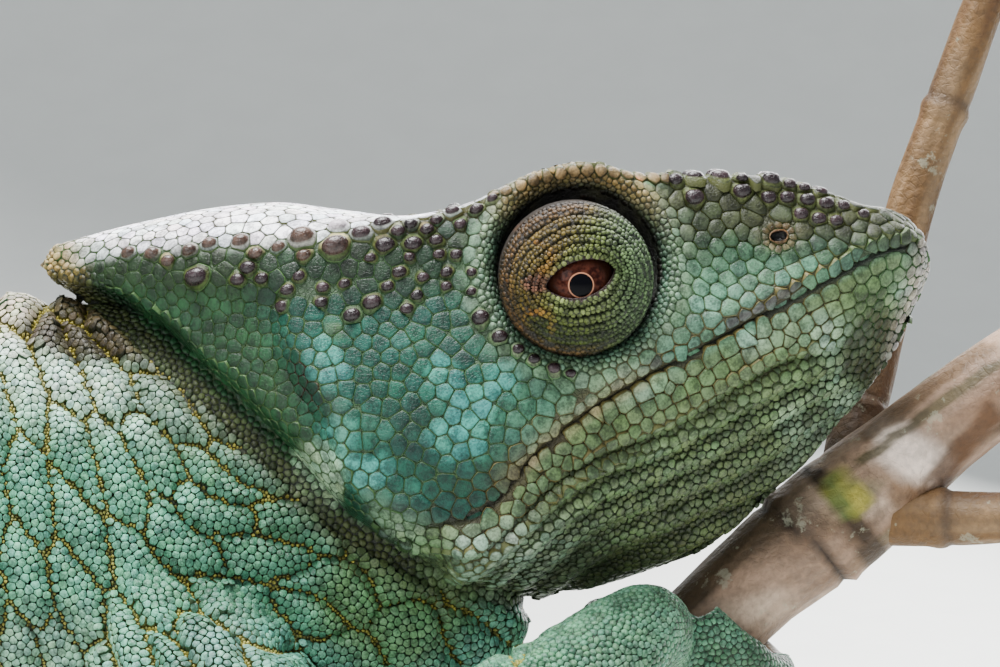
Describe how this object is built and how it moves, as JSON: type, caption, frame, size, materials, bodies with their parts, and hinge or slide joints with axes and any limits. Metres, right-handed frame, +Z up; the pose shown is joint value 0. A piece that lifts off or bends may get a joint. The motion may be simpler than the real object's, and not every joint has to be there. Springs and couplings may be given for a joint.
{
  "type": "chameleon",
  "caption": "Life-size still model of a large green chameleon climbing a short cut branch, held on a plain display stand.",
  "frame": {"origin": "middle of the base's underside", "axes": "+Z up, +X the way the animal faces, -Y the animal's right side"},
  "size_m": [0.2588, 0.096, 0.1796],
  "materials": {
    "skin": "scaly, satin",
    "throat_skin": "scaly, satin",
    "turret_skin": "finely granular, satin",
    "eye": "wet, clear gloss",
    "bark": "smooth dry bark",
    "steel": "brushed",
    "base_wood": "dark, satin varnish"
  },
  "bodies": {
    "root": {"head": "skin", "neck": "skin", "trunk": "skin", "tail_1": "skin", "tail_2": "skin", "tail_3": "skin", "tail_4": "skin", "tail_5": "skin", "tail_6": "skin", "tail_7": "skin", "upper_arm_right": "skin", "forearm_right": "skin", "hand_right_outer": "skin", "hand_right_inner": "skin", "upper_arm_left": "skin", "forearm_left": "skin", "hand_left_outer": "skin", "hand_left_inner": "skin", "thigh_right": "skin", "shank_right": "skin", "foot_right_outer": "skin", "foot_right_inner": "skin", "thigh_left": "skin", "shank_left": "skin", "foot_left_outer": "skin", "foot_left_inner": "skin", "lower_jaw": "throat_skin", "eye_turret_right": "turret_skin", "eye_turret_left": "turret_skin", "eyeball_right": "eye", "eyeball_left": "eye", "perch_branch": "bark", "perch_shoot_low": "bark", "perch_shoot_high": "bark", "stand_rod_front": "steel", "stand_rod_rear": "steel", "stand_base": "base_wood"}
  },
  "joints": []
}
